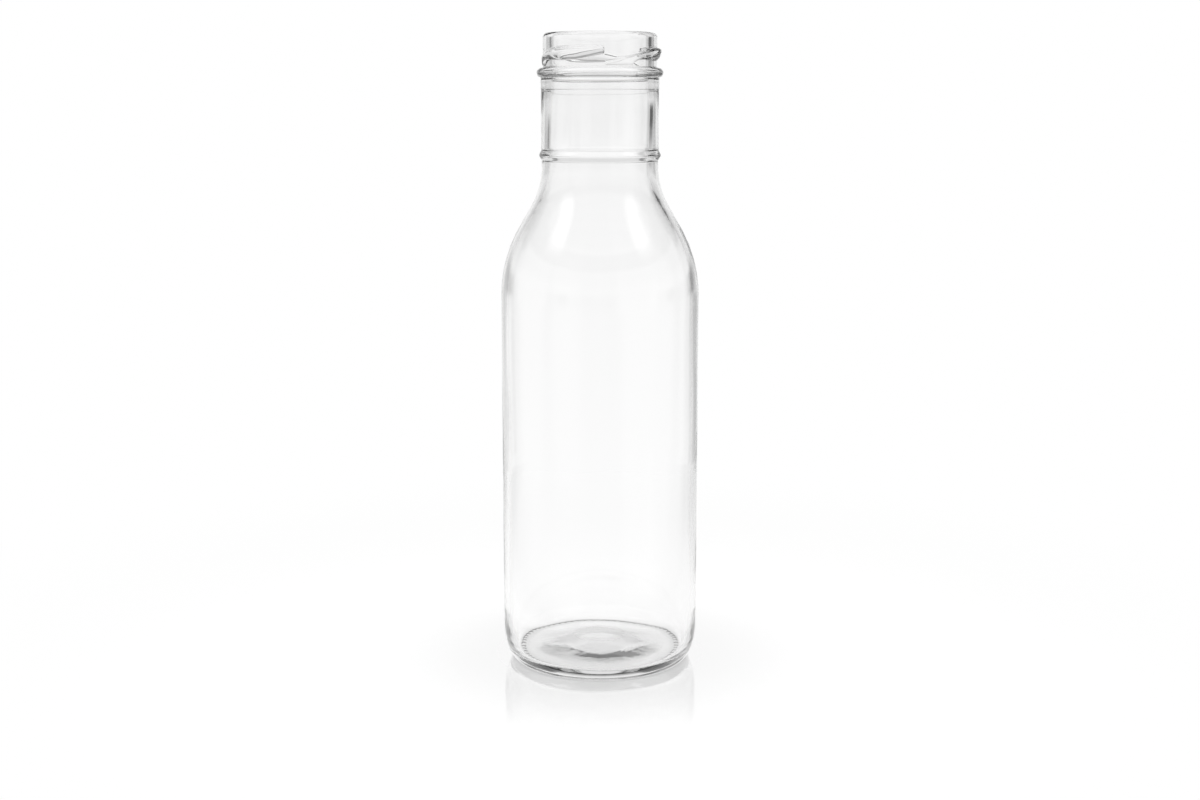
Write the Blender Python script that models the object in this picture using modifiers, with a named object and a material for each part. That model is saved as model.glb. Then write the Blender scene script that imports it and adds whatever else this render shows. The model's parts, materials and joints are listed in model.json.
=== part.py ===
"""Clear glass bottle with a round body, a ringed neck and a twist-off mouth.

The bottle is one turned wall of glass with three slanted lugs joined to the outside of its mouth.
It stands on the XY plane with its axis on +Z. All lengths are in metres.
"""

import math

import bmesh
import bpy

# Body
BODY_RADIUS = 0.03137
BODY_HEIGHT = 0.1182
BODY_WALL = 0.0020

# Heel, bearing ring and push-up under the body
HEEL_WIDTH = 0.0046
HEEL_HEIGHT = 0.0120
BEARING_WIDTH = 0.0014
PUSH_UP = 0.0024
FLOOR_THICKNESS = 0.0038
INNER_HEEL_WIDTH = 0.0034
INNER_HEEL_HEIGHT = 0.0100

# Shoulder between the body and the neck
SHOULDER_SLOPE = math.radians(29.7)
SHOULDER_BEND = 0.0437
NECK_BEND = 0.0245
STRAIGHT_SHARE = 0.05

# Neck, from the top of the shoulder to the line where the neck mould starts
NECK_BASE_RADIUS = 0.01825
NECK_RADIUS = 0.01840
NECK_BORE_RADIUS = 0.0158
NECK_LENGTH = 0.0202
RING_RADIUS = 0.0191
RING_HEIGHT = 0.0029
RING_RISE = 0.0032

# Mouth, from the neck mould's line to the sealing rim
MOUTH_LENGTH = 0.0173
MOUTH_RADIUS = 0.01775
MOUTH_BORE_RADIUS = 0.0151
BORE_TAPER_LENGTH = 0.0060
COLLAR_RADIUS = 0.01855
BEAD_RADIUS = 0.0197
BEAD_HEIGHT = 0.0030
BEAD_DEPTH = 0.0121
RIM_ROUND_WIDTH = 0.0016
RIM_ROUND_HEIGHT = 0.0014
RIM_INNER_ROUND = 0.0004

# Lugs round the mouth, which climb like a right-hand thread
LUG_COUNT = 3
LUG_RADIUS = 0.0191
LUG_TOP_DEPTH = 0.0046
LUG_HEIGHT = 0.0066
LUG_ROOT = 0.0006
LUG_END_ANGLE = math.radians(3.0)

# One lug from its thin start to its blunt end. Each row has the place along the lug as a share of the
# pitch, then its lower and upper edge as shares of the lug's height and its reach as a share of its full one.
LUG_SHARES = (
    (0.000, 0.00, 0.12, 0.10),
    (0.125, 0.06, 0.36, 0.16),
    (0.225, 0.21, 0.56, 0.22),
    (0.283, 0.38, 0.65, 0.30),
    (0.367, 0.42, 0.76, 0.48),
    (0.483, 0.42, 0.91, 0.82),
    (0.600, 0.42, 0.98, 1.00),
    (0.750, 0.44, 1.00, 1.00),
    (0.875, 0.58, 1.00, 1.00),
    (0.975, 0.70, 1.00, 1.00),
    (1.000, 0.74, 0.96, 0.75),
)

# The lug's section from its lower root to its upper root, as shares of its reach and of its height there
LUG_SECTION_SHARES = (
    (0.55, 0.02),
    (0.88, 0.12),
    (1.00, 0.32),
    (1.00, 0.68),
    (0.88, 0.88),
    (0.55, 0.98),
)

# Facets
TURN_STEPS = 56
FLOOR_STEPS = 5
HEEL_STEPS = 6
BEND_STEPS = 5
TAPER_STEPS = 3
ROUND_STEPS = 3
BEAD_STEPS = 3

# Glass
GLASS_COLOUR = (0.93, 0.96, 0.95, 1.0)
GLASS_ROUGHNESS = 0.02
GLASS_IOR = 1.52

QUARTER = math.pi / 2
MERGE_DISTANCE = 0.00001


def clear_scene():
    """Remove every object of the open file's scene."""
    for item in list(bpy.context.scene.objects):
        bpy.data.objects.remove(item, do_unlink=True)


def make_collection(name):
    """Return a new collection linked to the scene."""
    collection = bpy.data.collections.new(name)
    bpy.context.scene.collection.children.link(collection)
    return collection


def make_glass(name):
    """Return the bottle's clear glass."""
    material = bpy.data.materials.new(name)
    material.use_nodes = True
    shader = material.node_tree.nodes["Principled BSDF"]
    shader.inputs["Base Color"].default_value = GLASS_COLOUR
    shader.inputs["Roughness"].default_value = GLASS_ROUGHNESS
    shader.inputs["Metallic"].default_value = 0.0
    shader.inputs["IOR"].default_value = GLASS_IOR
    shader.inputs["Transmission Weight"].default_value = 1.0
    return material


def arc(centre, width, height, start, end, steps):
    """Points of an ellipse's arc as (radius, height) pairs, from the angle start to the angle end."""
    radius, level = centre
    angles = [start + (end - start) * step / steps for step in range(steps + 1)]
    return [(radius + width * math.cos(angle), level + height * math.sin(angle)) for angle in angles]


def shoulder(low_radius, high_radius, low_bend, high_bend):
    """Points up a shoulder that starts at BODY_HEIGHT: a bend inwards, a straight slope, a bend upwards.

    The slope's length takes up what the two bends leave of the step between the radii. Bends that would
    need more than that step are drawn in until a short slope is left.
    """
    step = low_radius - high_radius
    bent = (low_bend + high_bend) * (1 - math.cos(SHOULDER_SLOPE))
    fit = min(1, (1 - STRAIGHT_SHARE) * step / bent)
    straight = (step - bent * fit) / math.sin(SHOULDER_SLOPE)
    low_bend = low_bend * fit
    high_bend = high_bend * fit
    low_centre = (low_radius - low_bend, BODY_HEIGHT)
    low = arc(low_centre, low_bend, low_bend, 0, SHOULDER_SLOPE, BEND_STEPS)
    top = BODY_HEIGHT + (low_bend + high_bend) * math.sin(SHOULDER_SLOPE) + straight * math.cos(SHOULDER_SLOPE)
    high_centre = (high_radius + high_bend, top)
    high = arc(high_centre, high_bend, high_bend, math.pi + SHOULDER_SLOPE, math.pi, BEND_STEPS)
    return low + high


def neck_levels():
    """Heights of the ring's middle, of the neck mould's line and of the sealing rim."""
    shoulder_top = shoulder(BODY_RADIUS, NECK_BASE_RADIUS, SHOULDER_BEND, NECK_BEND)[-1][1]
    ring = shoulder_top + RING_RISE
    mould_line = ring + NECK_LENGTH
    return ring, mould_line, mould_line + MOUTH_LENGTH


def collar_band(level, height, radius, above, below):
    """Points down a rounded band round the neck, from the wall above it to the wall below it."""
    upper = arc((above, level), radius - above, height / 2, QUARTER, 0, BEAD_STEPS)
    lower = arc((below, level), radius - below, height / 2, 0, -QUARTER, BEAD_STEPS)
    return upper + lower[1:]


def inner_profile():
    """Points from the middle of the floor up the inside to the sealing rim."""
    mould_line, rim = neck_levels()[1:]
    wall_radius = BODY_RADIUS - BODY_WALL
    floor_radius = wall_radius - INNER_HEEL_WIDTH
    points = []
    for step in range(FLOOR_STEPS):
        share = step / FLOOR_STEPS
        level = FLOOR_THICKNESS + PUSH_UP * (1 + math.cos(math.pi * share)) / 2
        points.append((floor_radius * share, level))
    heel_centre = (floor_radius, FLOOR_THICKNESS + INNER_HEEL_HEIGHT)
    points += arc(heel_centre, INNER_HEEL_WIDTH, INNER_HEEL_HEIGHT, -QUARTER, 0, HEEL_STEPS)
    points += shoulder(wall_radius, NECK_BORE_RADIUS, SHOULDER_BEND - BODY_WALL, NECK_BEND + BODY_WALL)
    taper_start = mould_line - BORE_TAPER_LENGTH / 2
    for step in range(TAPER_STEPS + 1):
        share = step / TAPER_STEPS
        blend = (1 - math.cos(math.pi * share)) / 2
        radius = NECK_BORE_RADIUS + (MOUTH_BORE_RADIUS - NECK_BORE_RADIUS) * blend
        points.append((radius, taper_start + BORE_TAPER_LENGTH * share))
    lip_centre = (MOUTH_BORE_RADIUS + RIM_INNER_ROUND, rim - RIM_INNER_ROUND)
    points += arc(lip_centre, RIM_INNER_ROUND, RIM_INNER_ROUND, math.pi, QUARTER, ROUND_STEPS)
    return points


def outer_profile():
    """Points from the sealing rim down the outside to the middle of the push-up."""
    ring, mould_line, rim = neck_levels()
    lip_centre = (MOUTH_RADIUS - RIM_ROUND_WIDTH, rim - RIM_ROUND_HEIGHT)
    points = arc(lip_centre, RIM_ROUND_WIDTH, RIM_ROUND_HEIGHT, QUARTER, 0, ROUND_STEPS)
    points += collar_band(rim - BEAD_DEPTH, BEAD_HEIGHT, BEAD_RADIUS, MOUTH_RADIUS, COLLAR_RADIUS)
    points += [(COLLAR_RADIUS, mould_line), (NECK_RADIUS, mould_line)]
    points += collar_band(ring, RING_HEIGHT, RING_RADIUS, NECK_RADIUS, NECK_BASE_RADIUS)
    points += reversed(shoulder(BODY_RADIUS, NECK_BASE_RADIUS, SHOULDER_BEND, NECK_BEND))
    heel_centre = (BODY_RADIUS - HEEL_WIDTH, HEEL_HEIGHT)
    points += arc(heel_centre, HEEL_WIDTH, HEEL_HEIGHT, 0, -QUARTER, HEEL_STEPS)
    bearing_radius = BODY_RADIUS - HEEL_WIDTH - BEARING_WIDTH
    for step in range(FLOOR_STEPS + 1):
        share = 1 - step / FLOOR_STEPS
        points.append((bearing_radius * share, PUSH_UP * (1 - share**3)))
    return points


def make_turned(name, points, collection):
    """Return an object that turns (radius, height) points about +Z."""
    mesh = bpy.data.meshes.new(name)
    vertices = [(radius, 0, level) for radius, level in points]
    edges = [(index, index + 1) for index in range(len(points) - 1)]
    mesh.from_pydata(vertices, edges, [])
    turned = bpy.data.objects.new(name, mesh)
    collection.objects.link(turned)
    screw = turned.modifiers.new("turn", "SCREW")
    screw.axis = "Z"
    screw.steps = TURN_STEPS
    screw.render_steps = TURN_STEPS
    screw.use_merge_vertices = True
    screw.merge_threshold = MERGE_DISTANCE
    screw.use_smooth_shade = True
    return turned


def lug_ring(form, row, end_angle, foot):
    """Add one section of a lug to the mesh and return its vertices, from lower root to upper root."""
    place, lower, upper, reach = row
    angle = end_angle - (1 - place) * math.tau / LUG_COUNT
    low = foot + LUG_HEIGHT * lower
    high = foot + LUG_HEIGHT * upper
    root = MOUTH_RADIUS - LUG_ROOT
    section = [(root, low)]
    for reach_share, height_share in LUG_SECTION_SHARES:
        radius = MOUTH_RADIUS + (LUG_RADIUS - MOUTH_RADIUS) * reach * reach_share
        section.append((radius, low + (high - low) * height_share))
    section.append((root, high))
    return [form.verts.new((r * math.sin(angle), -r * math.cos(angle), z)) for r, z in section]


def make_lugs(name, collection):
    """Return one object with the lugs, each a loft through its sections with a flat cap at both ends."""
    rim = neck_levels()[2]
    foot = rim - LUG_TOP_DEPTH - LUG_HEIGHT
    form = bmesh.new()
    for lug in range(LUG_COUNT):
        end_angle = LUG_END_ANGLE + lug * math.tau / LUG_COUNT
        rings = [lug_ring(form, row, end_angle, foot) for row in LUG_SHARES]
        for ring, following in zip(rings, rings[1:]):
            for index in range(len(ring)):
                corner = index - 1
                form.faces.new((ring[corner], ring[index], following[index], following[corner]))
        form.faces.new(rings[0])
        form.faces.new(rings[-1])
    bmesh.ops.recalc_face_normals(form, faces=form.faces)
    mesh = bpy.data.meshes.new(name)
    form.to_mesh(mesh)
    form.free()
    lugs = bpy.data.objects.new(name, mesh)
    lugs.hide_render = True
    lugs.display_type = "WIRE"
    collection.objects.link(lugs)
    return lugs


def make_bottle():
    """Build the bottle: the turned wall with the lugs joined to it."""
    clear_scene()
    parts = make_collection("glass_bottle")
    shapes = make_collection("joined_shapes")
    bottle = make_turned("glass_bottle", inner_profile() + outer_profile(), parts)
    bottle.data.materials.append(make_glass("clear_glass"))
    join = bottle.modifiers.new("join_lugs", "BOOLEAN")
    join.operation = "UNION"
    join.solver = "EXACT"
    join.object = make_lugs("lug_shapes", shapes)


make_bottle()
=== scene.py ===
"""Clear glass bottle: its fine moulded surface, its glass, and a plain bright stage.

The bottle stands on the XY plane with its axis on +Z and its front towards -Y. All lengths are in metres.
"""

import json
import math

import bpy
import numpy as np
from bpy.props import FloatProperty, FloatVectorProperty, IntProperty, PointerProperty
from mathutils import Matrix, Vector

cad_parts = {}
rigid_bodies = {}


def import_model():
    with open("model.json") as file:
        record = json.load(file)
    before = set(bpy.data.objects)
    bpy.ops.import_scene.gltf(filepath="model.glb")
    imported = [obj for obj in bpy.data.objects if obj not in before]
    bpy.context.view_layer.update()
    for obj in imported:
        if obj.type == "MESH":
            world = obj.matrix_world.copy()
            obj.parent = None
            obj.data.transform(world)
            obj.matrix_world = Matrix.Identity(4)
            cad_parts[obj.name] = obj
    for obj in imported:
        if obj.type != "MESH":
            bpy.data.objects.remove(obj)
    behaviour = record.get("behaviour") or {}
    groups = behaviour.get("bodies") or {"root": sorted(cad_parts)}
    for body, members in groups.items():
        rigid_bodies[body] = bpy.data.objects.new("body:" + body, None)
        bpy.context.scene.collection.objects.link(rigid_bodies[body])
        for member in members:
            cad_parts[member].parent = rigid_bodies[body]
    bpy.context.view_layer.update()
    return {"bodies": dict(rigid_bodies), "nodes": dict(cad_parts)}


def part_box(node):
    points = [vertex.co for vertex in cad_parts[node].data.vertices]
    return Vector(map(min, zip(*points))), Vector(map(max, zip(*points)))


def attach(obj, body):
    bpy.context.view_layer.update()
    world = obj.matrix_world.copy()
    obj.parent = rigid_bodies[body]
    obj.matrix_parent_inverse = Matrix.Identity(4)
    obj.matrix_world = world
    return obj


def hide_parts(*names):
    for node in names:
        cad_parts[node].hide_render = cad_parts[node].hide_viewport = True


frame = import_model()

bl_info = {
    "name": "Clear Glass Bottle",
    "version": (1, 0, 0),
    "blender": (4, 5, 0),
    "location": "3D View > Sidebar > Bottle",
    "description": "Makes a moulded glass bottle with a twist-off mouth, and a bright stage for it",
    "category": "Object",
}

NODE = "glass_bottle"
HIGH_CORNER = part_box(NODE)[1]
FULL_RADIUS = HIGH_CORNER.x
FULL_HEIGHT = HIGH_CORNER.z
MILLIMETRE = 0.001
TURN = 2 * math.pi
QUARTER = math.pi / 2
WHITE = (1.0, 1.0, 1.0, 1.0)

# Grid of the bottle's surface. Rows lie closer where the wall bends, on the lugs, and on the knurls, whose
# rows are those in the lowest share of the underside's rise.
ROWS = 284
COLUMNS = 340
ROW_BEND = math.radians(6.5)
ROW_SPACE = 5.0 * MILLIMETRE
LUG_ROW_SPACE = 0.15 * MILLIMETRE
KNURL_ROW_SPACE = 0.22 * MILLIMETRE
KNURL_LEVEL_SHARE = 0.25

# Line of the wall: the points of each round stretch, and the even step at which its corners are rounded
ARC_POINTS = 48
LINE_STEP = 0.02 * MILLIMETRE

# Rows of the mouth's wall: where the lugs' lower and upper edges lie, as shares of its rows
LUG_START_SHARE = 0.22
LUG_STOP_SHARE = 0.80

# Lugs: the blunt end's place as a share of the pitch, how much closer the columns lie there, and the least
# gap under a lug as a share of the length over which its blunt end rises
LUG_END_SHARE = 0.985
END_PULL_SHARE = 0.6
LUG_GAP_SHARE = 0.25

# One lug from its thin start to its blunt end. Each row has the place along the lug as a share of the
# pitch, its lower and upper edge as shares of the lug's height, and its reach as a share of the full one.
# The last row is the first one again.
LUG_SHARES = np.array((
    (0.000, 0.00, 0.22, 0.14),
    (0.125, 0.00, 0.44, 0.22),
    (0.205, 0.02, 0.57, 0.26),
    (0.250, 0.30, 0.63, 0.30),
    (0.300, 0.42, 0.69, 0.38),
    (0.367, 0.45, 0.77, 0.52),
    (0.483, 0.44, 0.92, 0.84),
    (0.600, 0.42, 0.99, 1.00),
    (0.750, 0.44, 1.01, 1.00),
    (0.875, 0.56, 1.01, 1.00),
    (0.960, 0.66, 1.00, 1.00),
    (0.985, 0.68, 1.00, 1.00),
    (1.000, 0.00, 0.22, 0.14),
))

# Waves of the inner wall: how many go round the bottle, how many go up it, their phase, their share
RIPPLE_SHARES = (
    (2, 1.5, 0.4, 0.40),
    (3, 4.0, 2.1, 0.22),
    (5, 2.5, 1.2, 0.16),
    (7, 6.0, 4.0, 0.10),
    (11, 3.5, 0.9, 0.07),
    (17, 5.0, 3.3, 0.05),
)

# Waves of the inner floor: one set between its middle and its edge, and one at its edge. Each has how many
# go round and their phase, and the second has its share too.
MIDDLE_WAVES = 3
MIDDLE_PHASE = 0.7
EDGE_WAVES = 5
EDGE_PHASE = 2.0
EDGE_WAVE_SHARE = 0.6

# Glass: its index, the colour of light that goes straight through, the number of reflections past which
# a ray is caught, and the levels over which the heel's release of such rays ends
GLASS_INDEX = 1.52
CLEAR = (0.97, 0.97, 0.97, 1.0)
CAUGHT_DEPTH = 3.5
RELEASE_END = (0.020, 0.030)

# Grain of the mould on the base and the lugs: the levels and the radii over which it comes or goes. On the
# lugs it is full between its levels, and fades over an edge under and over them.
BASE_GRAIN_LEVELS = (0.0070, 0.0090)
BASE_GRAIN_RADII = (0.0190, 0.0215)
LUG_GRAIN_LEVELS = (0.190, 0.195)
LUG_GRAIN_EDGE = 0.001
LUG_GRAIN_RADII = (0.0179, 0.0184)
LUG_GRAIN = 0.5
GRAIN_SCALE = (190.0, 190.0, 190.0)

# Upright streaks all over the glass, and the relief that they and the grain make
STREAK_SCALE = (160.0, 160.0, 28.0)
STREAK_SHARE = 0.2
RELIEF_STRENGTH = 0.15
RELIEF_HEIGHT = 0.0004

# Bright panels that the glass sees, by their bearings from +Y towards +X. Each is bright over its half
# width and fades over its edge. Low down they are narrower, and there is one more at the back left.
PANELS = (0.0, math.radians(-90.0), math.radians(135.0))
PANEL_HALF = math.radians(19.0)
PANEL_EDGE = math.radians(9.0)
LOW_HALF = math.radians(9.0)
LOW_EDGE = math.radians(16.0)
BACK_LEFT = math.radians(-45.0)
BACK_LEFT_HALF = math.radians(4.0)
BACK_LEFT_EDGE = math.radians(8.0)

# Dark flags that draw the glass's edges. Each row has the bearing and the half width in degrees, the
# depth, and the sines of the lowest and the highest elevation. All fade over the same edges beside, under
# and over them.
FLAGS = (
    (45.0, 3.5, 0.90, -0.03, 0.02),
    (-50.0, 3.5, 0.60, -0.03, 0.02),
    (90.0, 3.5, 0.50, -0.03, 0.02),
    (-135.0, 3.5, 0.50, -0.03, 0.02),
    (40.0, 14.0, 0.20, -0.03, 0.04),
    (26.0, 5.0, 0.30, -0.30, -0.12),
    (38.0, 13.0, 0.85, 0.30, 0.75),
    (-32.0, 8.0, 0.85, 0.30, 0.75),
    (-52.0, 7.0, 0.60, 0.30, 0.75),
)
FLAG_EDGE = math.radians(5.5)
FLAG_RISE_EDGE = 0.06

# Levels of the surroundings, each the sine of an elevation: where a shade starts to change and where it
# has changed. The gap under the ceiling lies between its levels, and fades over an edge.
GAP_RISES = (0.00, 0.09)
FAR_FLOOR_RISES = (-0.22, -0.10)
FLOOR_EDGE_RISES = (-0.12, -0.04)
HORIZON_RISES = (-0.12, 0.04)
UPPER_WALL_RISES = (0.10, 0.25)
UPPER_WALL_WHITE = 0.80
CEILING_GAP_RISES = (0.41, 0.56)
CEILING_GAP_EDGE = 0.06
CEILING_RISES = (0.60, 0.70)
CEILING_WHITE = 0.75

# Faces of the lamps in the surroundings: how far they fade out sideways from their middle, the sines of
# their lowest and highest elevation, and the edge over which they fade under and over them
LAMP_EDGE = math.radians(18.0)
LAMP_RISES = (0.68, 0.70)
LAMP_RISE_EDGE = 0.26

# Floor: the distances from the bottle's axis over which each of its shades and its shine come or go. The
# dim stretches are faint near the bottle.
FAR_FLOOR = (0.08, 0.28)
NEAR_FLOOR_SHADE = 0.04
# UNDER_EDGE and CONTACT_EDGE bound the painted shade at the bottle's foot
UNDER_EDGE = (0.0225, 0.0255)
CONTACT_EDGE = (0.0268, 0.0295)
SHADOW_EDGE = (0.15, 0.28)
# LIFT_EDGE bounds the painted glow added to the floor next to the bottle
LIFT_EDGE = (0.03, 0.2)
SHINE_START = (0.0268, 0.0280)
SHINE_END = (0.0300, 0.0780)
FLOOR_ROUGHNESS = 0.015
FLOOR_POINTS = 96

# Lamps: their power over that of their faces in the surroundings, and the level that they face as a share
# of the bottle's height
LAMP_POWER = 1.85
LAMP_AIM_SHARE = 0.6

# Camera: its sensor's width in millimetres, and the nearest distance that it shows
SENSOR_WIDTH = 36.0
NEAREST = 0.01


def length(name, description, default):
    """Return a property for a length in metres."""
    return FloatProperty(name=name, description=description, default=default,
                         min=0.0, precision=5, subtype="DISTANCE", unit="LENGTH")


def angle(name, description, default):
    """Return a property for an angle in radians."""
    return FloatProperty(name=name, description=description, default=default,
                         subtype="ANGLE", unit="ROTATION")


def share(name, description, default):
    """Return a property for a share, from 0 to 1."""
    return FloatProperty(name=name, description=description, default=default,
                         min=0.0, max=1.0, subtype="FACTOR")


def colour(name, description, default):
    """Return a property for a linear colour."""
    return FloatVectorProperty(name=name, description=description, default=default,
                               size=4, min=0.0, max=1.0, subtype="COLOR")


class BodySizes(bpy.types.PropertyGroup):
    """Body, heel, base and shoulder."""

    radius: length("Body radius", "Outer radius of the body", FULL_RADIUS)
    height: length("Body height", "Height at which the shoulder starts", 0.1182)
    wall: length("Wall", "Thickness of the body's wall", 0.0020)
    heel_width: length("Heel width", "Reach of the heel's curve towards the axis", 0.0046)
    heel_height: length("Heel height", "Height of the heel's curve", 0.0120)
    bearing_width: length("Bearing width", "Width of the ring that the bottle stands on", 0.0014)
    push_up: length("Push-up", "Rise of the underside's middle", 0.0014)
    dome: length("Dome", "Rise of the inner floor's middle", 0.0030)
    dome_radius: length("Dome radius", "Radius at which the inner floor starts to rise", 0.0220)
    dome_flat: length("Dome flat", "Radius of the flat middle of the inner floor", 0.0085)
    dome_soft: length("Dome softness", "Width over which the dome's slope comes and goes", 0.0030)
    floor: length("Floor", "Thickness of the floor at its edge", 0.0038)
    inner_heel_width: length("Inner heel width", "Reach of the inner heel's curve", 0.0028)
    inner_heel_height: length("Inner heel height", "Height of the inner heel's curve", 0.0120)
    shoulder_slope: angle("Shoulder slope", "Steepest lean of the shoulder", math.radians(29.7))
    shoulder_bend: length("Shoulder bend", "Radius of the bend over the body", 0.0437)
    neck_bend: length("Neck bend", "Radius of the bend under the neck", 0.0245)
    seam: length("Seam", "Height of the mould's seams", 0.00002)
    seam_width: length("Seam width", "Width of the mould's seams", 0.0005)


class NeckSizes(bpy.types.PropertyGroup):
    """Neck, neck ring, bead, lip and bore."""

    base_radius: length("Neck base radius", "Outer radius where the shoulder ends", 0.01825)
    radius: length("Neck radius", "Outer radius above the ring", 0.01840)
    bore: length("Neck bore", "Inner radius of the neck", 0.0158)
    length: length("Neck length", "From the ring's middle to the mould line", 0.0202)
    ring_radius: length("Ring radius", "Outer radius of the neck ring", 0.0191)
    ring_height: length("Ring height", "Height of the neck ring", 0.0036)
    mouth_length: length("Mouth length", "From the mould line to the rim", 0.0173)
    mouth_radius: length("Mouth radius", "Outer radius of the mouth's wall", 0.01775)
    mouth_bore: length("Mouth bore", "Inner radius of the mouth", 0.0151)
    taper: length("Bore taper", "Length over which the bore narrows", 0.0130)
    collar: length("Collar radius", "Outer radius between the bead and the mould line", 0.01848)
    bead_radius: length("Bead radius", "Outer radius of the bead under the lugs", 0.0197)
    bead_height: length("Bead height", "Height of the bead", 0.0030)
    bead_depth: length("Bead depth", "From the rim down to the bead's middle", 0.0121)
    lip_width: length("Lip width", "Width of the lip's outer rounding", 0.0016)
    lip_height: length("Lip height", "Height of the lip's outer rounding", 0.0014)
    lip_inner: length("Inner lip", "Radius of the lip's inner rounding", 0.0004)
    rounding: length("Rounding", "Reach of the fire polish that rounds each corner", 0.00030)


class LugSizes(bpy.types.PropertyGroup):
    """The lugs round the mouth, which climb like a right-hand thread."""

    count: IntProperty(name="Lugs", description="How many lugs go round the mouth", default=3, min=1)
    radius: length("Lug radius", "Outer radius of a lug", 0.0191)
    top_depth: length("Lug depth", "From the rim down to a lug's top", 0.0046)
    height: length("Lug height", "From a lug's foot to its top", 0.0066)
    edge: length("Lug edge", "Length over which a lug rises at its blunt end", 0.0009)
    ridge: FloatProperty(name="Lug ridge", default=0.80, min=0.1, max=0.9,
                         description="Where a lug's section is highest, from its lower edge")
    crown: FloatProperty(name="Lug crown", default=2.0, min=1.0,
                         description="How flat a lug's ridge is, from 1 upwards")
    fullness: FloatProperty(name="Lug fullness", default=0.7, min=0.3, max=1.0,
                            description="Power of a lug's section, lower for steeper edges")
    end_angle: angle("Lug end", "Turn from the front to the first blunt end", math.radians(4.0))


class FinishSizes(bpy.types.PropertyGroup):
    """What moulding leaves on the glass."""

    knurls: IntProperty(name="Knurls", description="How many knurls go round the bearing ring",
                        default=68, min=0)
    knurl_depth: length("Knurl depth", "Depth of the gap between two knurls", 0.00050)
    ripple: length("Ripple", "Height of the inner wall's waves", 0.00012)
    floor_ripple: length("Floor ripple", "Height of the inner floor's waves", 0.00020)
    neck_shift: length("Neck shift", "How far the neck's bore is off the axis", 0.00005)
    shoulder_shift: length("Shoulder shift", "How far the shoulder's bore is off the axis", 0.00030)


class Colours(bpy.types.PropertyGroup):
    """Colours of the glass and the floor, and how the glass is finished."""

    glass: colour("Glass", "Colour of light that went through the glass", (0.995, 0.995, 0.995, 1.0))
    floor: colour("Floor", "Colour of the floor", WHITE)
    grain: FloatProperty(name="Grain", description="Strength of the mould's grain on the base",
                         default=0.6, min=0.0)
    release: share("Release", "Share of the light caught in the heel that gets out", 0.7)
    release_low: length("Release from", "Height under which no caught light gets out", 0.0020)
    release_high: length("Release above", "Height over which caught light gets out", 0.0045)


class StageSizes(bpy.types.PropertyGroup):
    """Camera, floor, lamps and surroundings."""

    camera_distance: length("Camera distance", "From the bottle's axis to the camera", 0.53652)
    camera_height: length("Camera height", "Height of the camera above the floor", 0.17946)
    camera_tilt: angle("Camera tilt", "How far the camera looks down", math.radians(10.023))
    lens: FloatProperty(name="Lens", description="Focal length in millimetres on a 36 mm sensor",
                        default=50.9, min=1.0, unit="CAMERA")
    floor_radius: length("Floor radius", "Radius of the floor", 0.30)
    lamp_distance: length("Lamp distance", "From the bottle's shoulder to each lamp", 0.60)
    lamp_width: length("Lamp width", "Width of each lamp", 0.22)
    lamp_length: length("Lamp length", "Length of each lamp", 0.50)
    lamp_side: angle("Lamp side", "Turn of each lamp from the front", math.radians(70.0))
    lamp_rise: angle("Lamp rise", "Height of each lamp over the horizon", math.radians(46.0))
    lamp_light: FloatProperty(name="Lamp light", default=1.3, min=0.0,
                              description="Brightness of a lamp's face, where 1 is white")
    sky_light: FloatProperty(name="Sky light", default=0.74, min=0.0,
                             description="Brightness of the light from all round")
    gap_shade: share("Gap shade", "Depth of the dim gaps between the bright panels", 0.40)
    high_shade: share("High gap shade", "Depth of those gaps well over the horizon", 0.17)
    floor_shade: share("Floor shade", "Depth of the floor's dim stretches far off", 0.18)
    wall_shade: share("Wall shade", "Depth of the dim stretches over the floor's edge", 0.30)
    ceiling: share("Ceiling shade", "Depth of the dark gap under the ceiling", 0.5)
    horizon: share("Horizon shade", "Fall in brightness from the floor to the horizon", 0.07)
    # Painted shade on the floor under the bottle and where it touches, in place of a cast contact shadow
    contact: share("Contact shade", "Depth of the shade where the bottle touches", 0.30)
    under: share("Shade underneath", "Depth of the shade under the bottle's middle", 0.12)
    shadow: share("Shadow", "Share of the floor's white that shadows can take away", 0.18)
    # Painted light: glow added to the floor next to the bottle, and more where it shines
    lift: share("Lift", "White added to the floor next to the bottle", 0.03)
    fill: share("Fill", "White added where the floor shines", 0.03)
    shine: share("Shine", "Strength of the reflection next to the bottle", 0.6)


def smooth_step(low, high, value):
    """Rise from 0 at low to 1 at high along three times the square less twice the cube."""
    part = np.clip((value - low) / (high - low), 0, 1)
    return part * part * (3 - 2 * part)


def arc(centre, width, height, start, end):
    """Points of an ellipse's arc: the centre plus width times cosine and height times sine of the angle."""
    turn = np.linspace(start, end, ARC_POINTS)
    return np.column_stack((centre[0] + width * np.cos(turn), centre[1] + height * np.sin(turn)))


def shoulder(body, low_radius, high_radius, low_bend, high_bend):
    """Points up a shoulder: an arc inwards, a straight slope and an arc upwards, tangent to each other.

    The slope's length takes up what the two arcs leave of the step between the radii.
    """
    slope = body.shoulder_slope
    bent = (low_bend + high_bend) * (1 - math.cos(slope))
    straight = (low_radius - high_radius - bent) / math.sin(slope)
    low = arc((low_radius - low_bend, body.height), low_bend, low_bend, 0, slope)
    top = body.height + (low_bend + high_bend) * math.sin(slope) + straight * math.cos(slope)
    high = arc((high_radius + high_bend, top), high_bend, high_bend, math.pi + slope, math.pi)
    return np.vstack((low, high))


def collar_band(level, height, radius, above, below):
    """Points down a band round the neck: a quarter ellipse out from the wall above and one back in."""
    upper = arc((above, level), radius - above, height / 2, QUARTER, 0)
    lower = arc((below, level), radius - below, height / 2, 0, -QUARTER)
    return np.vstack((upper, lower[1:]))


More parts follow.
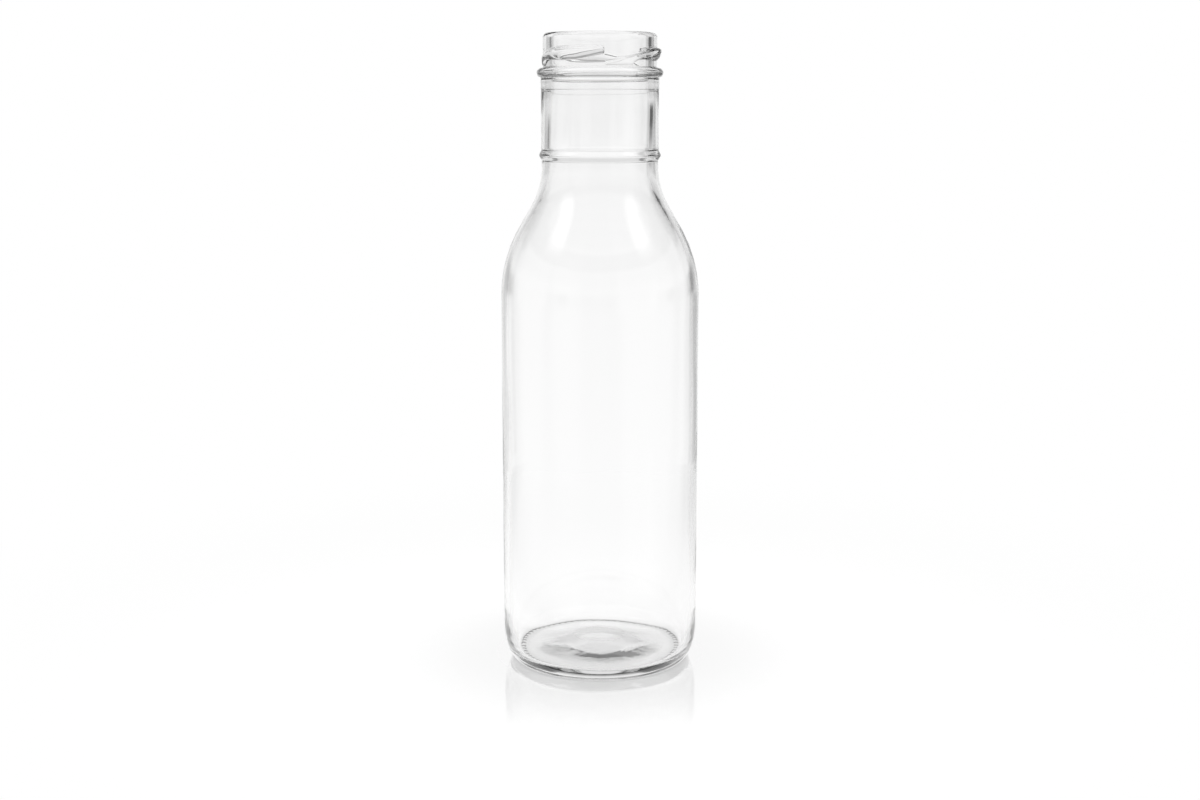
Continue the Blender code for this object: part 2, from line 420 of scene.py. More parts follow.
def soft_ring(level, height, radius, above, below):
    """Points down a soft ring round the neck: one wave of a cosine between the walls above and below it."""
    part = np.linspace(1, -1, 2 * ARC_POINTS)
    wall = np.where(part > 0, above, below)
    out = wall + (radius - wall) * (1 + np.cos(math.pi * part)) / 2
    return np.column_stack((out, level + height / 2 * part))


def inner_floor_radius(body):
    """Radius at which the inner floor meets the inner heel."""
    return body.radius - body.wall - body.inner_heel_width


def inner_ring_radius(body):
    """Radius at which the underside meets the bearing ring."""
    return body.radius - body.heel_width - body.bearing_width


def mould_level(neck):
    """Level of the mould line under the bead."""
    return FULL_HEIGHT - neck.mouth_length


def mouth_wall(neck):
    """Lowest and highest level of the mouth's plain wall, between the bead's and the lip's roundings."""
    bead_top = FULL_HEIGHT - neck.bead_depth + neck.bead_height / 2
    return bead_top + neck.rounding, FULL_HEIGHT - neck.lip_height - neck.rounding


def inner_line(body, neck):
    """Points from the middle of the floor up the inside to the rim.

    Round its flat middle the floor falls as a cone, whose slope comes and goes by a smooth step, the heel
    is a quarter ellipse, then come the shoulder, half a wave of a cosine where the bore narrows, and the
    lip's inner rounding.
    """
    across = np.linspace(0, inner_floor_radius(body), 2 * ARC_POINTS)
    soft = body.dome_soft / 2
    slope = smooth_step(body.dome_flat - soft, body.dome_flat + soft, across)
    slope = slope * (1 - smooth_step(body.dome_radius - soft, body.dome_radius + soft, across))
    fall = np.cumsum(slope)
    floor = np.column_stack((across, body.floor + body.dome * (1 - fall / fall[-1])))
    heel = arc((inner_floor_radius(body), body.floor + body.inner_heel_height), body.inner_heel_width,
               body.inner_heel_height, -QUARTER, 0)
    rise = shoulder(body, body.radius - body.wall, neck.bore, body.shoulder_bend - body.wall,
                    body.neck_bend + body.wall)
    part = np.linspace(0, 1, ARC_POINTS)
    bore = neck.mouth_bore + (neck.bore - neck.mouth_bore) * (1 + np.cos(math.pi * part)) / 2
    taper = np.column_stack((bore, mould_level(neck) - neck.taper / 2 + neck.taper * part))
    lip = arc((neck.mouth_bore + neck.lip_inner, FULL_HEIGHT - neck.lip_inner), neck.lip_inner,
              neck.lip_inner, math.pi, QUARTER)
    return np.vstack((floor, heel, rise, taper, lip))


def outer_line(body, neck):
    """Points from the rim down the outside to the middle of the underside.

    Lip, bead, collar, mould line, neck ring, shoulder and heel follow each other, and the underside rises
    by half a wave of a cosine from the bearing ring to its middle.
    """
    mould_line = mould_level(neck)
    lip = arc((neck.mouth_radius - neck.lip_width, FULL_HEIGHT - neck.lip_height), neck.lip_width,
              neck.lip_height, QUARTER, 0)
    bead = collar_band(FULL_HEIGHT - neck.bead_depth, neck.bead_height, neck.bead_radius,
                       neck.mouth_radius, neck.collar)
    step = np.array(((neck.collar, mould_line), (neck.radius, mould_line)))
    ring = soft_ring(mould_line - neck.length, neck.ring_height, neck.ring_radius, neck.radius,
                     neck.base_radius)
    fall = shoulder(body, body.radius, neck.base_radius, body.shoulder_bend, body.neck_bend)[::-1]
    heel = arc((body.radius - body.heel_width, body.heel_height), body.heel_width, body.heel_height,
               0, -QUARTER)
    across = np.linspace(inner_ring_radius(body), 0, 2 * ARC_POINTS)
    rise = (1 + np.cos(math.pi * across / inner_ring_radius(body))) / 2
    underside = np.column_stack((across, body.push_up * rise))
    return np.vstack((lip, bead, step, ring, fall, heel, underside))


def run_along(points):
    """Distance along a line of points, from its first point to each."""
    return np.concatenate(([0.0], np.cumsum(np.hypot(*np.diff(points, axis=0).T))))


def rounded(points, reach):
    """Round a line's corners: each point becomes the mean of the line within reach of it.

    The mean is a triangular one, taken on points at even steps, and the ends go on as mirror images in
    the axis, so that both poles stay flat.
    """
    run = run_along(points)
    even = np.linspace(0, run[-1], int(run[-1] / LINE_STEP) + 1)
    line = np.column_stack((np.interp(even, run, points[:, 0]), np.interp(even, run, points[:, 1])))
    side = int(reach / LINE_STEP)
    mirror = np.array((-1.0, 1.0))
    padded = np.vstack((line[side:0:-1] * mirror, line, line[-2:-side - 2:-1] * mirror))
    weights = 1.0 - np.abs(np.arange(-side, side + 1)) / (side + 1)
    weights /= weights.sum()
    return np.column_stack([np.convolve(padded[:, axis], weights, "valid") for axis in (0, 1)])


def choose_rows(line, outside, body, neck):
    """Pick the rows of the grid along a line: close together where it bends, on the lugs and the knurls.

    Each stretch counts for the most of its length over the widest space, its bend over the largest bend,
    and its length over the space that the lugs or the knurls ask for. The rows share that count evenly.
    """
    steps = np.diff(line, axis=0)
    lengths = np.hypot(*steps.T)
    heading = np.unwrap(np.arctan2(steps[:, 1], steps[:, 0]))
    bend = np.abs(np.gradient(heading))
    radius, level = line[1:].T
    side = outside[1:]
    foot, top = mouth_wall(neck)
    on_lugs = side & (level > foot) & (level < top)
    on_knurls = side & (level < body.push_up * KNURL_LEVEL_SHARE)
    on_knurls = on_knurls & (radius > inner_ring_radius(body) - body.bearing_width / 2)
    count = np.maximum(lengths / ROW_SPACE, bend / ROW_BEND)
    count = np.where(on_lugs, np.maximum(count, lengths / LUG_ROW_SPACE), count)
    count = np.where(on_knurls, np.maximum(count, lengths / KNURL_ROW_SPACE), count)
    total = np.concatenate(([0.0], np.cumsum(count)))
    return np.interp(np.linspace(0, total[-1], ROWS), total, np.arange(len(line)))


def wall_rows(body, neck):
    """Radius and level of each row of the grid, and whether it is outside, as arrays of one column."""
    inner = inner_line(body, neck)
    points = np.vstack((inner, outer_line(body, neck)))
    line = rounded(points, neck.rounding)
    rim = run_along(inner)[-1] / run_along(points)[-1]
    outside = np.linspace(0, 1, len(line)) > rim
    rows = choose_rows(line, outside, body, neck)
    order = np.arange(len(line))
    radius = np.interp(rows, order, line[:, 0])[:, None]
    level = np.interp(rows, order, line[:, 1])[:, None]
    return radius, level, np.interp(rows, order, outside)[:, None] > 0.5


def column_turns(level, neck, lugs):
    """Turn of each column at each row, from the front towards +X.

    They are even up to the mouth, and there a sine with one wave for each lug draws them together at the
    lugs' blunt ends.
    """
    turn = np.linspace(0, TURN, COLUMNS, endpoint=False)[None, :]
    at_mouth = smooth_step(mould_level(neck) - neck.taper, mouth_wall(neck)[0], level)
    pull = END_PULL_SHARE / lugs.count * at_mouth
    return turn - pull * np.sin(lugs.count * (turn - lugs.end_angle))


def lug_lines(turn, lugs):
    """Place along the lug, its lower and upper edge and its reach as a share of the full one, over turn."""
    pitch = TURN / lugs.count
    place = 1 - np.mod(lugs.end_angle - turn + (1 - LUG_END_SHARE) * pitch, pitch) / pitch
    foot = FULL_HEIGHT - lugs.top_depth - lugs.height
    low = foot + lugs.height * np.interp(place, LUG_SHARES[:, 0], LUG_SHARES[:, 1])
    high = foot + lugs.height * np.interp(place, LUG_SHARES[:, 0], LUG_SHARES[:, 2])
    return place, low, high, np.interp(place, LUG_SHARES[:, 0], LUG_SHARES[:, 3])


def lug_surface(turn, level, neck, lugs):
    """Level of each point of the mouth's wall and its reach out of the wall, over turn and level.

    The rows are moved up and down the wall so that two of them follow the lug's edges: each of the three
    stretches between foot, lower edge, upper edge and top is a straight line. Between the edges the reach
    is a power of one minus a power of the distance from the lug's ridge, and at the blunt end it rises
    along a quarter circle.
    """
    foot, top = mouth_wall(neck)
    place, low, high, full_share = lug_lines(turn, lugs)
    low = np.maximum(low, foot + lugs.edge * LUG_GAP_SHARE)
    row = (level - foot) / (top - foot)
    across = (row - LUG_START_SHARE) / (LUG_STOP_SHARE - LUG_START_SHARE)
    below = foot + (low - foot) * row / LUG_START_SHARE
    above = high + (top - high) * (row - LUG_STOP_SHARE) / (1 - LUG_STOP_SHARE)
    moved = np.where(across < 0, below, np.where(across > 1, above, low + (high - low) * across))
    off = np.clip(np.where(across < lugs.ridge, 1 - across / lugs.ridge,
                           (across - lugs.ridge) / (1 - lugs.ridge)), 0, 1)
    section = (1 - off**lugs.crown) ** lugs.fullness
    run = np.clip((LUG_END_SHARE - place) * TURN / lugs.count * neck.mouth_radius / lugs.edge, 0, 1)
    end = np.sqrt(1 - (1 - run) ** 2)
    reach = (lugs.radius - neck.mouth_radius) * full_share * section * end
    on_wall = (row >= 0) & (row <= 1)
    return np.where(on_wall, moved, level), np.where(on_wall, reach, 0)


def seam_relief(turn, body):
    """Height of the two seams at the front and the back: a raised cosine across each."""
    off = np.abs(np.mod(turn + QUARTER, math.pi) - QUARTER) * body.radius
    part = np.clip(off / (body.seam_width / 2), 0, 1)
    return body.seam * (1 + np.cos(math.pi * part)) / 2


def knurl_gaps(turn, radius, body, finish):
    """Depth of the gaps between the knurls: a raised cosine round the bearing ring.

    Across the ring it falls off as one over e to a power, the distance from the ring's middle in half
    widths to the fourth.
    """
    middle = body.radius - body.heel_width - body.bearing_width / 2
    on_ring = np.exp(-((radius - middle) / (body.bearing_width / 2)) ** 4)
    return finish.knurl_depth * on_ring * (1 - np.cos(finish.knurls * turn)) / 2


def under_mouth(level, neck):
    """Fall from 1 in the neck to 0 in the mouth, by a smooth step where the bore narrows."""
    mould_line = mould_level(neck)
    return 1 - smooth_step(mould_line - neck.taper, mould_line + neck.taper / 2, level)


def ripple(turn, level):
    """Sum of waves that go round and up the bottle, each a cosine of the turn times one of the level."""
    total = np.zeros(np.broadcast(turn, level).shape)
    for around, upward, phase, part in RIPPLE_SHARES:
        rise = np.cos(TURN * upward * level / FULL_HEIGHT + phase * around)
        total += part * np.cos(around * turn + phase) * rise
    return total


def wall_waves(turn, level, body, neck, finish):
    """How far the inner wall waves into the bore: the ripple, which fades out in the heel and the mouth."""
    fade = smooth_step(body.floor, body.heel_height, level) * under_mouth(level, neck)
    return finish.ripple * fade * ripple(turn, level)


def floor_waves(turn, radius, level, body, finish):
    """Rise of the inner floor's waves, which fade out up the heel.

    One set is a cosine of the turn times a parabola that is 0 in the middle and at the edge, and the other
    is a cosine of the turn times the square of the radius.
    """
    near_floor = 1 - smooth_step(body.floor + body.push_up, body.heel_height, level)
    spread = radius / inner_floor_radius(body)
    swell = np.cos(MIDDLE_WAVES * turn + MIDDLE_PHASE) * spread * (1 - spread)
    swell = swell + EDGE_WAVE_SHARE * np.cos(EDGE_WAVES * turn + EDGE_PHASE) * spread**2
    return finish.floor_ripple * near_floor * swell


def bore_shift(level, body, neck, finish):
    """How far the bore lies to the left of the axis, by smooth steps from one stretch to the next.

    It grows up the shoulder, goes over to the neck's own shift up the neck, and fades out in the mouth.
    """
    mould_line = mould_level(neck)
    shift = finish.shoulder_shift * smooth_step(body.height, mould_line - neck.length, level)
    ease = smooth_step(mould_line - neck.length, mould_line, level)
    shift = shift + (finish.neck_shift - shift) * ease
    return shift * under_mouth(level, neck)


def bottle_surface(body, neck, lugs, finish):
    """Points of the whole wall as an array of rows and columns.

    The line of the wall, from the inner floor over the rim to the underside, is turned about +Z. Lugs
    stand out of the outside, knurls are cut into the bearing ring, the inner wall and floor wave, and the
    bore of the neck and shoulder lies a little to the left of the axis. The outside is drawn in by the
    seams' height, so that their crests have the full radius.
    """
    radius, level, outside = wall_rows(body, neck)
    inside = ~outside
    turn = column_turns(level, neck, lugs)
    wall_level, lug_reach = lug_surface(turn, level, neck, lugs)
    level = np.where(outside, wall_level, level)

    on_body = outside & (level > body.heel_height / 2)
    reach = np.where(outside, lug_reach, 0)
    reach = reach + np.where(on_body, seam_relief(turn, body) - body.seam, 0)
    reach = reach - np.where(inside, wall_waves(turn, level, body, neck, finish), 0)

    on_underside = outside & (level < body.push_up)
    lift = np.where(inside, floor_waves(turn, radius, level, body, finish), 0)
    lift = lift + np.where(on_underside, knurl_gaps(turn, radius, body, finish), 0)

    shift = np.where(inside, bore_shift(level, body, neck, finish), 0)
    x = (radius + reach) * np.sin(turn) - shift
    y = -(radius + reach) * np.cos(turn)
    return np.stack(np.broadcast_arrays(x, y, level + lift), axis=2)


def grid_mesh(name, points):
    """Return a closed mesh of a grid whose columns wrap round and whose end rows shrink to a pole each."""
    rows, columns = points.shape[:2]
    inner_rows = points[1:-1].reshape(-1, 3)
    first = points[0].mean(axis=0)
    last = points[-1].mean(axis=0)
    vertices = np.vstack((first, inner_rows, last))
    row = np.arange(rows - 3)[:, None] * columns
    column = np.arange(columns)[None, :]
    here = 1 + row + column
    beside = 1 + row + (column + 1) % columns
    quads = np.stack((here, here + columns, beside + columns, beside), axis=2).reshape(-1, 4)
    ring = np.arange(columns)
    following = (ring + 1) % columns
    start = np.column_stack((np.zeros(columns, int), 1 + ring, 1 + following))
    last_row = 1 + (rows - 3) * columns
    end = np.column_stack((last_row + ring, np.full(columns, len(vertices) - 1), last_row + following))
    mesh = bpy.data.meshes.new(name)
    mesh.from_pydata(vertices.tolist(), [], start.tolist() + quads.tolist() + end.tolist())
    mesh.shade_smooth()
    return mesh


def calculate(tree, operation, *values):
    """Add a Math node and return its result. A value is a number or another node's result."""
    node = tree.nodes.new("ShaderNodeMath")
    node.operation = operation
    for socket, value in zip(node.inputs, values):
        if isinstance(value, bpy.types.NodeSocket):
            tree.links.new(value, socket)
        else:
            socket.default_value = value
    return node.outputs["Value"]


def multiply(tree, first, *others):
    """Return nodes for the product of some values."""
    product = first
    for value in others:
        product = calculate(tree, "MULTIPLY", product, value)
    return product


def blend(tree, part, first, second):
    """Return nodes for first plus part times the step from first to second."""
    step = calculate(tree, "SUBTRACT", second, first)
    return calculate(tree, "MULTIPLY_ADD", step, part, first)


def ramp(tree, value, low, high, start, end):
    """Add a node that goes smoothly from start to end as a value goes from low to high."""
    node = tree.nodes.new("ShaderNodeMapRange")
    node.interpolation_type = "SMOOTHSTEP"
    node.clamp = True
    tree.links.new(value, node.inputs["Value"])
    node.inputs["From Min"].default_value = low
    node.inputs["From Max"].default_value = high
    node.inputs["To Min"].default_value = start
    node.inputs["To Max"].default_value = end
    return node.outputs["Result"]


def band(tree, value, low, high, edge):
    """Return nodes that are 1 between low and high and fall smoothly to 0 over the edge outside them."""
    return multiply(tree, ramp(tree, value, low - edge, low, 0.0, 1.0),
                    ramp(tree, value, high, high + edge, 1.0, 0.0))


def coordinates(tree, place):
    """Return the x, y and z of a place or direction."""
    axes = tree.nodes.new("ShaderNodeSeparateXYZ")
    tree.links.new(place, axes.inputs["Vector"])
    return axes.outputs


def from_axis(tree, x, y):
    """Return nodes for the distance from the axis: the root of the sum of the squares of x and y."""
    return calculate(tree, "SQRT", calculate(tree, "MULTIPLY_ADD", x, x, multiply(tree, y, y)))


def level_direction(tree, x, y):
    """Return nodes for the level direction, of length 1, of a place or direction."""
    level = tree.nodes.new("ShaderNodeCombineXYZ")
    tree.links.new(x, level.inputs["X"])
    tree.links.new(y, level.inputs["Y"])
    flat = tree.nodes.new("ShaderNodeVectorMath")
    flat.operation = "NORMALIZE"
    tree.links.new(level.outputs["Vector"], flat.inputs[0])
    return flat.outputs["Vector"]


def noise(tree, place, scale):
    """Return nodes for smooth noise, 0 to 1, whose grain is one over the scale along each axis."""
    mapping = tree.nodes.new("ShaderNodeMapping")
    mapping.inputs["Scale"].default_value = scale
    tree.links.new(place, mapping.inputs["Vector"])
    node = tree.nodes.new("ShaderNodeTexNoise")
    node.inputs["Scale"].default_value = 1.0
    tree.links.new(mapping.outputs["Vector"], node.inputs["Vector"])
    return node.outputs["Fac"]


def relief(tree, height):
    """Add a node that turns a height from 0 to 1 into the slight relief of the glass."""
    bump = tree.nodes.new("ShaderNodeBump")
    bump.inputs["Strength"].default_value = RELIEF_STRENGTH
    bump.inputs["Distance"].default_value = RELIEF_HEIGHT
    tree.links.new(height, bump.inputs["Height"])
    return bump.outputs["Normal"]


def emission(tree, tint, strength):
    """Add a shader that glows with a colour and return it."""
    glow = tree.nodes.new("ShaderNodeEmission")
    glow.inputs["Color"].default_value = tint
    tree.links.new(strength, glow.inputs["Strength"])
    return glow.outputs["Emission"]


def add_shaders(tree, first, second):
    """Add a shader that is the sum of two and return it."""
    total = tree.nodes.new("ShaderNodeAddShader")
    tree.links.new(first, total.inputs[0])
    tree.links.new(second, total.inputs[1])
    return total.outputs["Shader"]


def mix_shaders(tree, part, first, second):
    """Add a shader that is the first, with part of it replaced by the second, and return it."""
    mix = tree.nodes.new("ShaderNodeMixShader")
    tree.links.new(part, mix.inputs["Fac"])
    tree.links.new(first, mix.inputs[1])
    tree.links.new(second, mix.inputs[2])
    return mix.outputs["Shader"]


def make_glass(name, colours):
    """Return clear glass, which lets light pass to what is behind it.

    It has faint upright streaks all over, and the mould's own grain on the base and on the lugs. Light
    for shadows and for the floor goes straight through it, and so does a share of what the heel catches.
    """
    material = bpy.data.materials.new(name)
    material.use_nodes = True
    tree = material.node_tree
    shader = tree.nodes["Principled BSDF"]
    shader.inputs["Base Color"].default_value = colours.glass
    shader.inputs["Roughness"].default_value = 0.0
    shader.inputs["IOR"].default_value = GLASS_INDEX
    shader.inputs["Transmission Weight"].default_value = 1.0

    place = tree.nodes.new("ShaderNodeTexCoord").outputs["Object"]
    x, y, z = coordinates(tree, place)
    away = from_axis(tree, x, y)
    on_base = multiply(tree, ramp(tree, z, *BASE_GRAIN_LEVELS, colours.grain, 0.0),
                       ramp(tree, away, *BASE_GRAIN_RADII, 1.0, 0.0))
    on_lugs = multiply(tree, ramp(tree, away, *LUG_GRAIN_RADII, 0.0, LUG_GRAIN),
                       band(tree, z, *LUG_GRAIN_LEVELS, LUG_GRAIN_EDGE))
    grain = multiply(tree, noise(tree, place, GRAIN_SCALE), calculate(tree, "MAXIMUM", on_base, on_lugs))
    height = calculate(tree, "MULTIPLY_ADD", noise(tree, place, STREAK_SCALE), STREAK_SHARE, grain)
    tree.links.new(relief(tree, height), shader.inputs["Normal"])

    clear = tree.nodes.new("ShaderNodeBsdfTransparent")
    clear.inputs["Color"].default_value = CLEAR
    rays = tree.nodes.new("ShaderNodeLightPath").outputs
    straight = calculate(tree, "MAXIMUM", rays["Is Shadow Ray"], rays["Is Diffuse Ray"])
    caught = calculate(tree, "GREATER_THAN", rays["Glossy Depth"], CAUGHT_DEPTH)
    in_heel = multiply(tree, ramp(tree, z, colours.release_low, colours.release_high, 0.0, 1.0),
                       ramp(tree, z, *RELEASE_END, colours.release, 0.0))
    straight = calculate(tree, "MAXIMUM", straight, multiply(tree, caught, in_heel))
    surface = mix_shaders(tree, straight, shader.outputs["BSDF"], clear.outputs["BSDF"])
    tree.links.new(surface, tree.nodes["Material Output"].inputs["Surface"])
    return material


class MakeBottle(bpy.types.Operator):
    """Make the bottle's fine surface and its glass"""

    bl_idname = "glass_bottle.make_bottle"
    bl_label = "Make Bottle"

    def execute(self, context):
        scene = context.scene
        points = bottle_surface(scene.bottle_body, scene.bottle_neck, scene.bottle_lugs,
                                scene.bottle_finish)
        mesh = grid_mesh("clear_bottle", points)
        mesh.materials.append(make_glass("clear_glass_finish", scene.bottle_colours))
        bottle = bpy.data.objects.new("clear_bottle", mesh)
        scene.collection.objects.link(bottle)
        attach(bottle, "root")
        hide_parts(NODE)
        return {"FINISHED"}


def facing(tree, flat, bearings):
    """Return nodes for the cosine of the turn between the level direction and the nearest bearing."""
    found = -1.0
    for bearing in bearings:
        product = tree.nodes.new("ShaderNodeVectorMath")
        product.operation = "DOT_PRODUCT"
        tree.links.new(flat, product.inputs[0])
        product.inputs[1].default_value = (math.sin(bearing), math.cos(bearing), 0.0)
        found = calculate(tree, "MAXIMUM", product.outputs["Value"], found)
    return found


def sides(tree, flat, bearings, half, edge, start, end):
    """Return nodes that are start within a half width of a bearing and go to end over the edge beside it."""
    near = facing(tree, flat, bearings)
    return ramp(tree, near, math.cos(half + edge), math.cos(half), end, start)


def beside_panels(tree, flat):
    """Return nodes that are 0 towards the low panels and rise smoothly to 1 beside them."""
    wide = sides(tree, flat, PANELS, LOW_HALF, LOW_EDGE, 0.0, 1.0)
    narrow = sides(tree, flat, (BACK_LEFT,), BACK_LEFT_HALF, BACK_LEFT_EDGE, 0.0, 1.0)
    return calculate(tree, "MINIMUM", wide, narrow)


def seen_by_glass(tree):
    """Return a value that is 1 for rays that the glass reflects or lets through, and 0 for others."""
    rays = tree.nodes.new("ShaderNodeLightPath").outputs
    return calculate(tree, "MAXIMUM", rays["Is Glossy Ray"], rays["Is Transmission Ray"])


def studio_walls(tree, stage, flat, rise):
    """Return nodes for the brightness of the studio's walls, by level direction and sine of elevation.

    Over the horizon they have dim gaps between the bright panels, and under it the floor's dim stretches.
    Each dark flag then takes its own depth off what is behind it.
    """
    beside = sides(tree, flat, PANELS, PANEL_HALF, PANEL_EDGE, 0.0, 1.0)
    gaps = ramp(tree, rise, *GAP_RISES, -stage.gap_shade, -stage.high_shade)
    upper = calculate(tree, "MULTIPLY_ADD", beside, gaps, 1.0)
    stretches = ramp(tree, rise, *FAR_FLOOR_RISES, -stage.floor_shade, -stage.wall_shade)
    lower = calculate(tree, "MULTIPLY_ADD", beside_panels(tree, flat), stretches, 1.0)
    walls = blend(tree, ramp(tree, rise, *FLOOR_EDGE_RISES, 0.0, 1.0), lower, upper)
    for bearing, half, depth, low, high in FLAGS:
        across = sides(tree, flat, (math.radians(bearing),), math.radians(half), FLAG_EDGE, -depth, 0.0)
        flag = multiply(tree, across, band(tree, rise, low, high, FLAG_RISE_EDGE))
        walls = multiply(tree, walls, calculate(tree, "ADD", flag, 1.0))
    return walls


def make_world(stage):
    """Make the surroundings: white to the camera, and shaded for the glass as a studio's walls are.

    The glass sees the walls, which get dimmer from the floor upwards, a dark gap under the ceiling, and
    the soft faces of the two lamps. The floor's soft shine sees plain white, and all else is lit by an
    even sky.
    """
    world = bpy.data.worlds.new("bright_surroundings")
    world.use_nodes = True
    tree = world.node_tree
    x, y, z = coordinates(tree, tree.nodes.new("ShaderNodeTexCoord").outputs["Generated"])
    flat = level_direction(tree, x, y)

    horizon = ramp(tree, z, *HORIZON_RISES, 1.0, 1.0 - stage.horizon)
    horizon = multiply(tree, horizon, ramp(tree, z, *UPPER_WALL_RISES, 1.0, UPPER_WALL_WHITE))
    gap = band(tree, z, *CEILING_GAP_RISES, CEILING_GAP_EDGE)
    ceiling = calculate(tree, "MULTIPLY_ADD", gap, -stage.ceiling, 1.0)
    ceiling = multiply(tree, ceiling, ramp(tree, z, *CEILING_RISES, 1.0, CEILING_WHITE))
    walls = multiply(tree, studio_walls(tree, stage, flat, z), multiply(tree, horizon, ceiling))

    bearing = math.pi - stage.lamp_side
    faces = sides(tree, flat, (-bearing, bearing), 0.0, LAMP_EDGE, 1.0, 0.0)
    lamps = multiply(tree, faces, band(tree, z, *LAMP_RISES, LAMP_RISE_EDGE), stage.lamp_light)
    seen = calculate(tree, "ADD", walls, lamps)

    around = blend(tree, seen_by_glass(tree), stage.sky_light, seen)
    rays = tree.nodes.new("ShaderNodeLightPath").outputs
    soft = calculate(tree, "SUBTRACT", rays["Is Glossy Ray"], rays["Is Singular Ray"])
    white = calculate(tree, "MAXIMUM", rays["Is Camera Ray"], soft)
    background = tree.nodes["Background"]
    background.inputs["Color"].default_value = WHITE
    tree.links.new(blend(tree, white, around, 1.0), background.inputs["Strength"])
    bpy.context.scene.world = world


def floor_whiteness(tree, stage, x, y, away):
    """Return nodes for how white the floor is, from 0 to 1.

    It is 1 less the dim stretches that only the glass sees, times 1 less the painted shade under and round
    the bottle's foot.
    """
    stretches = multiply(tree, beside_panels(tree, level_direction(tree, x, y)),
                         ramp(tree, away, *FAR_FLOOR, NEAR_FLOOR_SHADE, stage.floor_shade))
    shown = multiply(tree, stretches, seen_by_glass(tree))
    # Painted shade: the floor's white is darkened under the bottle and where it touches
    shade = multiply(tree, ramp(tree, away, *UNDER_EDGE, stage.under, stage.contact),
                     ramp(tree, away, *CONTACT_EDGE, 1.0, 0.0))
    return multiply(tree, calculate(tree, "SUBTRACT", 1.0, shown), calculate(tree, "SUBTRACT", 1.0, shade))


def make_floor_finish(stage, tint):
    """Return the floor's white: it keeps a soft shadow, and shines a little next to the bottle.

    A small share of the white is lit by the lamps, so that shadows show in it, and the rest glows. The
    shine is a glossy share that only the camera sees, and it grows as the floor is seen at a flatter angle.
    """
    material = bpy.data.materials.new("white_floor")
    material.use_nodes = True
    tree = material.node_tree
    tree.nodes.remove(tree.nodes["Principled BSDF"])
    x, y = coordinates(tree, tree.nodes.new("ShaderNodeTexCoord").outputs["Object"])[:2]
    away = from_axis(tree, x, y)
    whiteness = floor_whiteness(tree, stage, x, y, away)

    lit_share = ramp(tree, away, *SHADOW_EDGE, stage.shadow, 0.0)
    lit_white = multiply(tree, whiteness, lit_share)
    lit_colour = tree.nodes.new("ShaderNodeCombineColor")
    for socket in lit_colour.inputs[:3]:
        tree.links.new(lit_white, socket)
    lit = tree.nodes.new("ShaderNodeBsdfDiffuse")
    tree.links.new(lit_colour.outputs["Color"], lit.inputs["Color"])
    glow_share = calculate(tree, "SUBTRACT", 1.0, lit_share)
    # Painted light: more glow next to the bottle lifts the floor where shadow and shine darken it
    glow_share = calculate(tree, "ADD", glow_share, ramp(tree, away, *LIFT_EDGE, stage.lift, 0.0))
    glow = emission(tree, tint, multiply(tree, whiteness, glow_share))
    white = add_shaders(tree, lit.outputs["BSDF"], glow)

    gloss = tree.nodes.new("ShaderNodeBsdfGlossy")
    gloss.inputs["Roughness"].default_value = FLOOR_ROUGHNESS
    mirror = multiply(tree, ramp(tree, away, *SHINE_START, 0.0, 1.0),
                      ramp(tree, away, *SHINE_END, stage.shine, 0.0),
                      tree.nodes.new("ShaderNodeLightPath").outputs["Is Camera Ray"])
    shine = multiply(tree, tree.nodes.new("ShaderNodeLayerWeight").outputs["Facing"], mirror)
    shiny = mix_shaders(tree, shine, white, gloss.outputs["BSDF"])
    # Painted light: white glow added where the floor shines
    filled = add_shaders(tree, shiny, emission(tree, WHITE, multiply(tree, shine, stage.fill)))
    tree.links.new(filled, tree.nodes["Material Output"].inputs["Surface"])
    return material


def make_floor(stage, tint):
    """Make the floor: a flat disc whose rim has points at even turns."""
    turn = np.linspace(0, TURN, FLOOR_POINTS, endpoint=False)
    rim = np.column_stack((np.cos(turn), np.sin(turn), np.zeros(FLOOR_POINTS))) * stage.floor_radius
    mesh = bpy.data.meshes.new("floor")
    mesh.from_pydata(rim.tolist(), [], [list(range(FLOOR_POINTS))])
    mesh.materials.append(make_floor_finish(stage, tint))
    floor = bpy.data.objects.new("floor", mesh)
    bpy.context.scene.collection.objects.link(floor)


def make_lamp(stage, name, side):
    """Make one soft lamp over the bottle's left or right, which faces the shoulder."""
    light = bpy.data.lights.new(name, "AREA")
    light.shape = "RECTANGLE"
    light.size = stage.lamp_width
    light.size_y = stage.lamp_length
    light.energy = LAMP_POWER * stage.lamp_light * math.pi * stage.lamp_width * stage.lamp_length
    lamp = bpy.data.objects.new(name, light)
    turn = side * stage.lamp_side
    flat = stage.lamp_distance * math.cos(stage.lamp_rise)
    lift = stage.lamp_distance * math.sin(stage.lamp_rise)
    aim = FULL_HEIGHT * LAMP_AIM_SHARE
    lamp.location = (flat * math.sin(turn), -flat * math.cos(turn), aim + lift)
    lamp.rotation_euler = (QUARTER - stage.lamp_rise, 0.0, turn)
    lamp.visible_camera = False
    lamp.visible_glossy = False
    lamp.visible_transmission = False
    bpy.context.scene.collection.objects.link(lamp)


def make_camera(stage):
    """Make the camera in front of the bottle, looking down at it a little."""
    data = bpy.data.cameras.new("camera")
    data.sensor_width = SENSOR_WIDTH
    data.lens = stage.lens
    data.clip_start = NEAREST
    camera = bpy.data.objects.new("camera", data)
    camera.location = (0.0, -stage.camera_distance, stage.camera_height)
    camera.rotation_euler = (QUARTER - stage.camera_tilt, 0.0, 0.0)
    bpy.context.scene.collection.objects.link(camera)
    bpy.context.scene.camera = camera


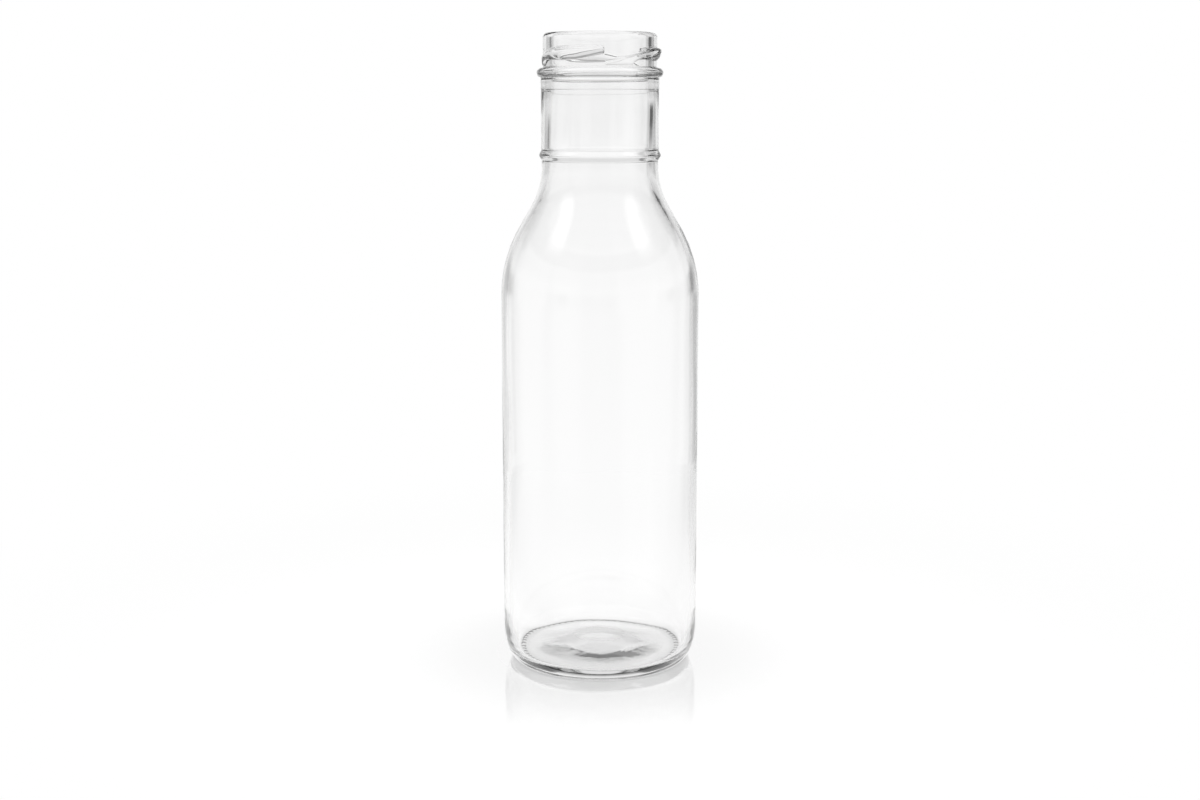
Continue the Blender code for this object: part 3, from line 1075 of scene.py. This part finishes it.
class MakeStage(bpy.types.Operator):
    """Make the white floor, the bright surroundings, two soft lamps and the camera"""

    bl_idname = "glass_bottle.make_stage"
    bl_label = "Make Stage"

    def execute(self, context):
        stage = context.scene.bottle_stage
        make_world(stage)
        make_floor(stage, context.scene.bottle_colours.floor)
        make_lamp(stage, "left_lamp", -1)
        make_lamp(stage, "right_lamp", 1)
        make_camera(stage)
        context.scene.view_settings.view_transform = "Standard"
        return {"FINISHED"}


class BottlePanel(bpy.types.Panel):
    """Sizes, colours and makers of the bottle and its stage"""

    bl_idname = "VIEW3D_PT_glass_bottle"
    bl_label = "Glass Bottle"
    bl_space_type = "VIEW_3D"
    bl_region_type = "UI"
    bl_category = "Bottle"

    def draw(self, context):
        for attribute, group in GROUPS.items():
            box = self.layout.box()
            box.label(text=group.__doc__)
            for name in group.__annotations__:
                box.prop(getattr(context.scene, attribute), name)
        for maker in MAKERS:
            self.layout.operator(maker.bl_idname)


GROUPS = {
    "bottle_body": BodySizes,
    "bottle_neck": NeckSizes,
    "bottle_lugs": LugSizes,
    "bottle_finish": FinishSizes,
    "bottle_colours": Colours,
    "bottle_stage": StageSizes,
}
MAKERS = (MakeBottle, MakeStage)


def register():
    """Register the classes and put their settings on the scene."""
    for item in (*GROUPS.values(), *MAKERS, BottlePanel):
        bpy.utils.register_class(item)
    for attribute, group in GROUPS.items():
        setattr(bpy.types.Scene, attribute, PointerProperty(type=group))


def unregister():
    """Take the settings off the scene and unregister the classes."""
    for attribute in GROUPS:
        delattr(bpy.types.Scene, attribute)
    for item in (BottlePanel, *reversed(MAKERS), *reversed(GROUPS.values())):
        bpy.utils.unregister_class(item)


def clear_start_objects():
    """Remove what the open file held before the frame was loaded."""
    kept = set(frame["nodes"].values()) | set(frame["bodies"].values())
    for item in list(bpy.data.objects):
        if item not in kept:
            bpy.data.objects.remove(item, do_unlink=True)


def main():
    """Make the bottle and its stage."""
    clear_start_objects()
    register()
    bpy.ops.glass_bottle.make_bottle()
    bpy.ops.glass_bottle.make_stage()
    bpy.context.view_layer.update()


if __name__ == "__main__":
    main()
